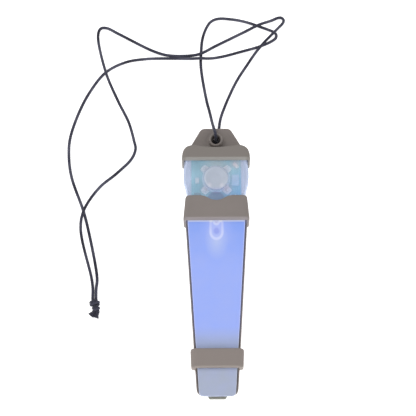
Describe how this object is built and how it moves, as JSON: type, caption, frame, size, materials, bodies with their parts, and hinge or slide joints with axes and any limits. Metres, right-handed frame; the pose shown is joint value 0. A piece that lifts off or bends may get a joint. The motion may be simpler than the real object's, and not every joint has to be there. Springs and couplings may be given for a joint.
{
  "type": "marker flashlight",
  "caption": "Flat marker flashlight: lit tapered blade on a button-operated battery head, in a rubber holster with an eyelet and a thin lanyard.",
  "frame": {"origin": "centre of the holster's outline, on the plane that its back lies on; the lanyard is not counted", "axes": "+Z out of the front, where the button is; +Y along the blade towards the eyelet; +X to the right seen from the front"},
  "size_m": [0.1142, 0.2046, 0.015],
  "materials": {
    "holster_rubber": "matt moulded",
    "frosted_shell": "frosted",
    "tub_plastic": "satin",
    "lit_blade": "frosted, lit from its top end",
    "white_plastic": "satin",
    "seal_rubber": "matt",
    "board_green": "solder mask",
    "black_plastic": "satin",
    "bright_metal": "nickel plated",
    "contact_brass": "spring metal",
    "cord_fabric": "braided"
  },
  "bodies": {
    "light": {"holster": "holster_rubber", "head_rear_shell": "tub_plastic", "head_front_shell": "frosted_shell", "shell_gasket": "white_plastic", "coin_cell_lower": "bright_metal", "coin_cell_upper": "bright_metal", "negative_contact": "contact_brass", "positive_contact": "contact_brass", "circuit_board": "board_green", "controller_chip": "white_plastic", "boost_inductor": "black_plastic", "supply_capacitor": "white_plastic", "output_capacitor": "white_plastic", "current_resistor": "black_plastic", "timing_resistor": "black_plastic", "gate_resistor": "black_plastic", "switch_body": "black_plastic", "switch_dome": "bright_metal", "switch_retainer": "white_plastic", "retainer_screw_1": "bright_metal", "retainer_screw_2": "bright_metal", "retainer_screw_3": "bright_metal", "retainer_screw_4": "bright_metal", "light_blade": "lit_blade", "blade_reflector": "white_plastic", "blade_led": "frosted_shell", "led_lead_anode": "bright_metal", "led_lead_cathode": "bright_metal", "lanyard_front_strand": "cord_fabric", "lanyard_back_strand": "cord_fabric", "lanyard_knot": "cord_fabric", "lanyard_tail_left": "cord_fabric", "lanyard_tail_right": "cord_fabric"},
    "button": {"button_cap": "frosted_shell", "switch_plunger": "black_plastic"},
    "door": {"battery_door": "tub_plastic", "door_seal": "seal_rubber"}
  },
  "joints": [
    {"name": "button_press", "type": "slide", "parent": "light", "child": "button", "axis": [0, 0, -1], "range_m": [0, 0.0004], "stiffness_N_per_m": 4000, "deforming": ["switch_dome"]},
    {"name": "door_turn", "type": "hinge", "parent": "light", "child": "door", "pos_m": [0, 0.0403, 0.0021], "axis": [0, 0, 1], "range_deg": [0, 60]}
  ]
}
